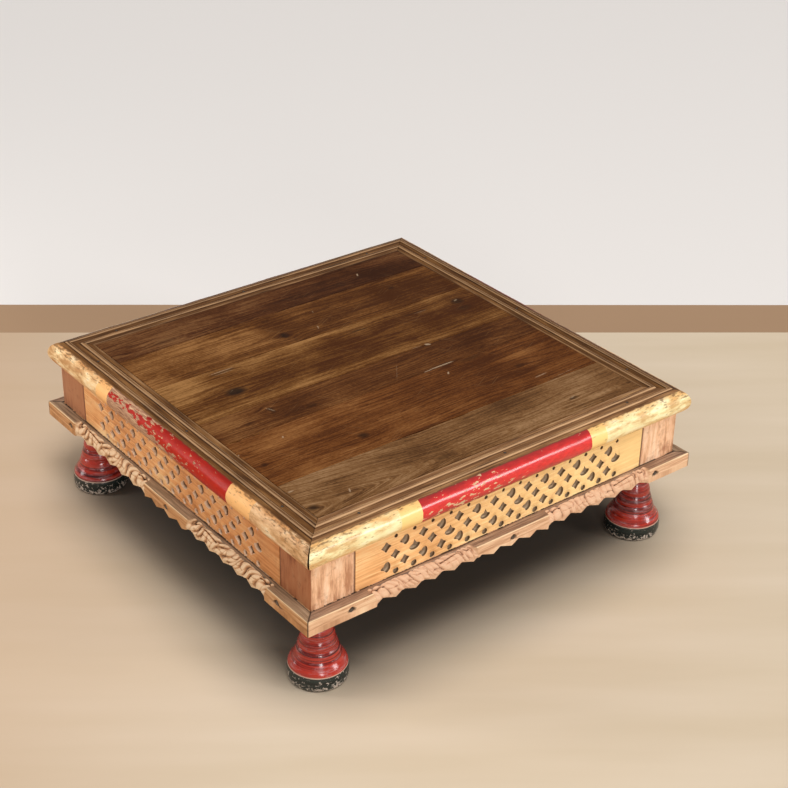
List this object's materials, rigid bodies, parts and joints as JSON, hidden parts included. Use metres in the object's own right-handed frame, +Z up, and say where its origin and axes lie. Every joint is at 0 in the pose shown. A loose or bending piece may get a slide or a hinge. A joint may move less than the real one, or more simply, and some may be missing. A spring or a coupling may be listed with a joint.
{
  "type": "low table",
  "caption": "Square bajot low table: plank top in a moulded, painted frame over pierced jali aprons, a carved toothed moulding and red lacquered turned feet",
  "frame": {"origin": "on the floor under the middle of the table", "axes": "+Z up, -Y to the front side, +X to its right along the boards"},
  "size_m": [0.6174, 0.6174, 0.2205],
  "materials": {
    "board_wood": "worn dark polish with open grain and knots",
    "rail_wood": "dark polish on top, worn cream, ochre and red paint on the nose",
    "jali_wood": "old, lightly polished",
    "post_wood": "old, upright grain",
    "skirt_wood": "carved, worn, dusty on its ledge",
    "hidden_wood": "sawn, unpolished",
    "foot_lacquer": "glossy red lacquer, worn black-green lacquer at the base",
    "nail_iron": "dark, slightly rusted wire nail"
  },
  "bodies": {
    "root": {"apron_back": "jali_wood", "apron_front": "jali_wood", "apron_left": "jali_wood", "apron_right": "jali_wood", "batten_left": "hidden_wood", "batten_nail_left_1": "nail_iron", "batten_nail_left_2": "nail_iron", "batten_nail_left_3": "nail_iron", "batten_nail_left_4": "nail_iron", "batten_nail_right_1": "nail_iron", "batten_nail_right_2": "nail_iron", "batten_nail_right_3": "nail_iron", "batten_nail_right_4": "nail_iron", "batten_right": "hidden_wood", "foot_back_left": "foot_lacquer", "foot_back_right": "foot_lacquer", "foot_front_left": "foot_lacquer", "foot_front_right": "foot_lacquer", "frame_nail_back_1": "nail_iron", "frame_nail_back_2": "nail_iron", "frame_nail_back_3": "nail_iron", "frame_nail_front_1": "nail_iron", "frame_nail_front_2": "nail_iron", "frame_nail_front_3": "nail_iron", "frame_nail_left_1": "nail_iron", "frame_nail_left_2": "nail_iron", "frame_nail_left_3": "nail_iron", "frame_nail_right_1": "nail_iron", "frame_nail_right_2": "nail_iron", "frame_nail_right_3": "nail_iron", "post_back_left": "post_wood", "post_back_right": "post_wood", "post_front_left": "post_wood", "post_front_right": "post_wood", "skirt_back": "skirt_wood", "skirt_front": "skirt_wood", "skirt_left": "skirt_wood", "skirt_nail_back_1": "nail_iron", "skirt_nail_back_2": "nail_iron", "skirt_nail_back_3": "nail_iron", "skirt_nail_front_1": "nail_iron", "skirt_nail_front_2": "nail_iron", "skirt_nail_front_3": "nail_iron", "skirt_nail_left_1": "nail_iron", "skirt_nail_left_2": "nail_iron", "skirt_nail_left_3": "nail_iron", "skirt_nail_right_1": "nail_iron", "skirt_nail_right_2": "nail_iron", "skirt_nail_right_3": "nail_iron", "skirt_right": "skirt_wood", "top_board_1": "board_wood", "top_board_2": "board_wood", "top_board_3": "board_wood", "top_board_4": "board_wood", "top_board_5": "board_wood", "top_board_6": "board_wood", "top_rail_back": "rail_wood", "top_rail_front": "rail_wood", "top_rail_left": "rail_wood", "top_rail_right": "rail_wood"}
  },
  "joints": []
}
